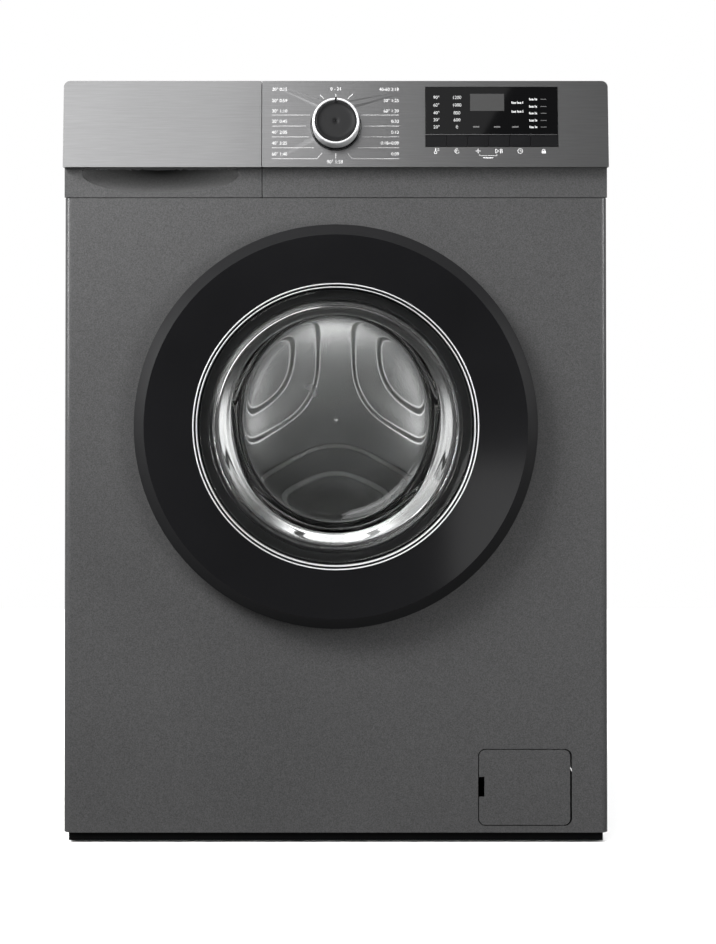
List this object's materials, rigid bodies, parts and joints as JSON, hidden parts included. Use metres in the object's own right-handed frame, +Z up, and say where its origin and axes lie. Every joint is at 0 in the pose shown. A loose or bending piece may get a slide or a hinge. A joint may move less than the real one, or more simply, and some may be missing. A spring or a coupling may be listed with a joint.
{
  "type": "front load washing machine",
  "caption": "Front load washing machine with a round glazed door, slanted control panel with a rotary selector and display, detergent drawer and filter flap.",
  "frame": {"origin": "on the floor, below the middle of the overall box", "axes": "+X to the right of a person facing the door, +Y to the back, +Z up"},
  "size_m": [0.6, 0.5532, 0.84],
  "materials": {
    "painted_sheet": "graphite grey metallic paint, satin",
    "silver_fascia": "silver grey metallic lacquer, satin",
    "top_plastic": "fine grain grey moulding",
    "black_gloss": "high gloss black",
    "dark_plastic": "fine grain black moulding",
    "chrome_trim": "polished",
    "door_glass": "clear moulded glass",
    "seal_rubber": "satin grey rubber",
    "belt_rubber": "black ribbed rubber",
    "stainless": "polished stainless sheet",
    "white_plastic": "white moulding",
    "tub_plastic": "filled grey moulding",
    "zinc_steel": "zinc plated",
    "cast_alloy": "as cast",
    "motor_steel": "black painted steel",
    "bare_steel": "machined",
    "weight_iron": "rough cast",
    "foot_plastic": "black moulding",
    "board_green": "lacquered board"
  },
  "bodies": {
    "cabinet": {"base_pan": "foot_plastic", "left_side_panel": "painted_sheet", "right_side_panel": "painted_sheet", "front_panel": "painted_sheet", "rear_panel": "zinc_steel", "rear_cover": "zinc_steel", "top_cover": "top_plastic", "cross_bars": "zinc_steel", "control_panel": "silver_fascia", "display_window": "black_gloss", "control_board": "board_green", "dispenser_box": "white_plastic", "inlet_valve": "white_plastic", "door_hinge_bracket": "zinc_steel", "door_lock": "dark_plastic", "damper_cylinders": "zinc_steel", "pump_housing": "tub_plastic", "drain_outlet": "tub_plastic", "cord_gland": "dark_plastic", "cabinet_screws": "zinc_steel", "rear_feet": "foot_plastic", "door_gasket": "seal_rubber", "suspension_springs": "zinc_steel", "tub_hoses": "seal_rubber"},
    "knob": {"knob_ring": "chrome_trim", "knob_cap": "dark_plastic"},
    "drawer": {"drawer_front": "silver_fascia", "drawer_tray": "white_plastic"},
    "door": {"door_outer_frame": "black_gloss", "door_inner_frame": "dark_plastic", "door_glass": "door_glass", "door_trim_ring": "chrome_trim", "door_hinge_arm": "zinc_steel"},
    "hook": {"door_hook": "dark_plastic"},
    "tub": {"tub_front": "tub_plastic", "tub_rear": "tub_plastic", "bearings": "bare_steel", "heater": "zinc_steel", "counterweights": "weight_iron", "motor_housing": "motor_steel", "damper_rods": "zinc_steel", "drive_belt": "belt_rubber"},
    "drum": {"drum_shell": "stainless", "drum_back": "stainless", "drum_paddles": "white_plastic", "drum_spider": "cast_alloy", "drum_pulley": "cast_alloy"},
    "motor": {"motor_rotor": "bare_steel"},
    "impeller": {"pump_impeller": "tub_plastic"},
    "filter_carrier": {"filter_basket": "white_plastic"},
    "filter": {"filter_plug": "dark_plastic"},
    "foot_left": {"foot_left": "foot_plastic"},
    "foot_right": {"foot_right": "foot_plastic"},
    "flap": {"filter_flap": "painted_sheet"},
    "button_temperature": {"button_temperature": "black_gloss"},
    "button_spin": {"button_spin": "black_gloss"},
    "button_option": {"button_option": "black_gloss"},
    "button_start": {"button_start": "black_gloss"},
    "button_delay": {"button_delay": "black_gloss"},
    "button_lock": {"button_lock": "black_gloss"}
  },
  "joints": [
    {"name": "door_swing", "type": "hinge", "parent": "cabinet", "child": "door", "pos_m": [-0.211, -0.25839, 0.46], "axis": [0, 0, -1], "range_deg": [0, 130]},
    {"name": "hook_turn", "type": "hinge", "parent": "door", "child": "hook", "pos_m": [0.185, -0.25239, 0.46], "axis": [0, 0, 1], "range_deg": [0, 12], "stiffness_Nm_per_rad": 0.3, "springref_deg": -11.46},
    {"name": "drawer_slide", "type": "slide", "parent": "cabinet", "child": "drawer", "axis": [0, -1, 0], "range_m": [0, 0.2]},
    {"name": "knob_turn", "type": "hinge", "parent": "cabinet", "child": "knob", "pos_m": [0, -0.24855, 0.79], "axis": [0, -0.9965, 0.083], "continuous": true},
    {"name": "press_temperature", "type": "slide", "parent": "cabinet", "child": "button_temperature", "axis": [0, 0.9965, -0.083], "range_m": [0, 0.0008], "stiffness_N_per_m": 1200, "springref_m": -0.0006},
    {"name": "press_spin", "type": "slide", "parent": "cabinet", "child": "button_spin", "axis": [0, 0.9965, -0.083], "range_m": [0, 0.0008], "stiffness_N_per_m": 1200, "springref_m": -0.0006},
    {"name": "press_option", "type": "slide", "parent": "cabinet", "child": "button_option", "axis": [0, 0.9965, -0.083], "range_m": [0, 0.0008], "stiffness_N_per_m": 1200, "springref_m": -0.0006},
    {"name": "press_start", "type": "slide", "parent": "cabinet", "child": "button_start", "axis": [0, 0.9965, -0.083], "range_m": [0, 0.0008], "stiffness_N_per_m": 1200, "springref_m": -0.0006},
    {"name": "press_delay", "type": "slide", "parent": "cabinet", "child": "button_delay", "axis": [0, 0.9965, -0.083], "range_m": [0, 0.0008], "stiffness_N_per_m": 1200, "springref_m": -0.0006},
    {"name": "press_lock", "type": "slide", "parent": "cabinet", "child": "button_lock", "axis": [0, 0.9965, -0.083], "range_m": [0, 0.0008], "stiffness_N_per_m": 1200, "springref_m": -0.0006},
    {"name": "tub_float", "type": "slide", "parent": "cabinet", "child": "tub", "axis": [0, 0, 1], "range_m": [-0.008, 0.008], "stiffness_N_per_m": 12000, "springref_m": 0.03, "deforming": ["suspension_springs", "door_gasket", "tub_hoses"]},
    {"name": "drum_spin", "type": "hinge", "parent": "tub", "child": "drum", "pos_m": [0, -0.03839, 0.46], "axis": [0, 1, 0], "continuous": true},
    {"name": "motor_spin", "type": "hinge", "parent": "tub", "child": "motor", "pos_m": [0.06, 0.13161, 0.132], "axis": [0, 1, 0], "continuous": true},
    {"name": "impeller_spin", "type": "hinge", "parent": "cabinet", "child": "impeller", "pos_m": [0.208, -0.11839, 0.062], "axis": [0, 1, 0], "continuous": true},
    {"name": "filter_slide", "type": "slide", "parent": "cabinet", "child": "filter_carrier", "axis": [0, -1, 0], "range_m": [0, 0.006]},
    {"name": "filter_turn", "type": "hinge", "parent": "filter_carrier", "child": "filter", "pos_m": [0.208, -0.21839, 0.062], "axis": [0, -1, 0], "range_deg": [0, 540]},
    {"name": "flap_swing", "type": "hinge", "parent": "cabinet", "child": "flap", "pos_m": [0.2465, -0.23339, 0.0615], "axis": [0, 0, 1], "range_deg": [0, 100]},
    {"name": "foot_left_screw", "type": "slide", "parent": "cabinet", "child": "foot_left", "axis": [0, 0, -1], "range_m": [0, 0.012]},
    {"name": "foot_right_screw", "type": "slide", "parent": "cabinet", "child": "foot_right", "axis": [0, 0, -1], "range_m": [0, 0.012]}
  ],
  "couplings": [
    {"joint": "motor_spin", "follows": "drum_spin", "ratio": 12.727},
    {"joint": "filter_turn", "follows": "filter_slide", "rad_per_m": 1570}
  ]
}
